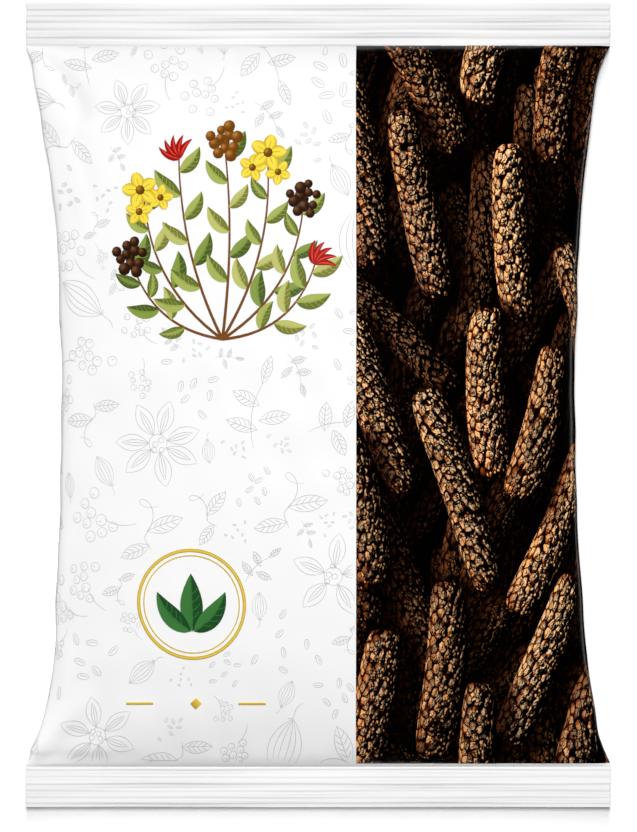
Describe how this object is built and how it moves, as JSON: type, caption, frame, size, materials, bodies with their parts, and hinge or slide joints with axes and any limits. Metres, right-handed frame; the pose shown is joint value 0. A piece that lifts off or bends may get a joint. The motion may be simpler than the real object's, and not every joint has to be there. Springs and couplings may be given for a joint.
{
  "type": "dried spice pillow pouch",
  "caption": "Sealed film pillow pouch with ribbed crimped end seals and a back fin seam, filled with loose dried long pepper spikes, lying on its back.",
  "frame": {"origin": "on the table under the pouch's middle, at the flat outer face of the back's fin seam", "axes": "+Z out of the front, +Y towards the top end seal, +X across the pouch towards the side of the front that carries the dark printed panel"},
  "size_m": [0.122, 0.168, 0.0302],
  "materials": {
    "film": "glossy white laminate film",
    "spice": "dry, rough and matte"
  },
  "bodies": {
    "root": {"pouch_film": "film", "spike_01": "spice", "spike_02": "spice", "spike_03": "spice", "spike_04": "spice", "spike_05": "spice", "spike_06": "spice", "spike_07": "spice", "spike_08": "spice", "spike_09": "spice", "spike_10": "spice", "spike_11": "spice", "spike_12": "spice", "spike_13": "spice", "spike_14": "spice", "spike_15": "spice", "spike_16": "spice", "spike_17": "spice", "spike_18": "spice", "spike_19": "spice", "spike_20": "spice", "spike_21": "spice", "spike_22": "spice", "spike_23": "spice", "spike_24": "spice", "spike_25": "spice", "spike_26": "spice", "spike_27": "spice", "spike_28": "spice", "spike_29": "spice", "spike_30": "spice", "spike_31": "spice", "spike_32": "spice", "spike_33": "spice", "spike_34": "spice", "spike_35": "spice", "spike_36": "spice", "spike_37": "spice", "spike_38": "spice", "spike_39": "spice", "spike_40": "spice", "spike_41": "spice", "spike_42": "spice"}
  },
  "joints": []
}
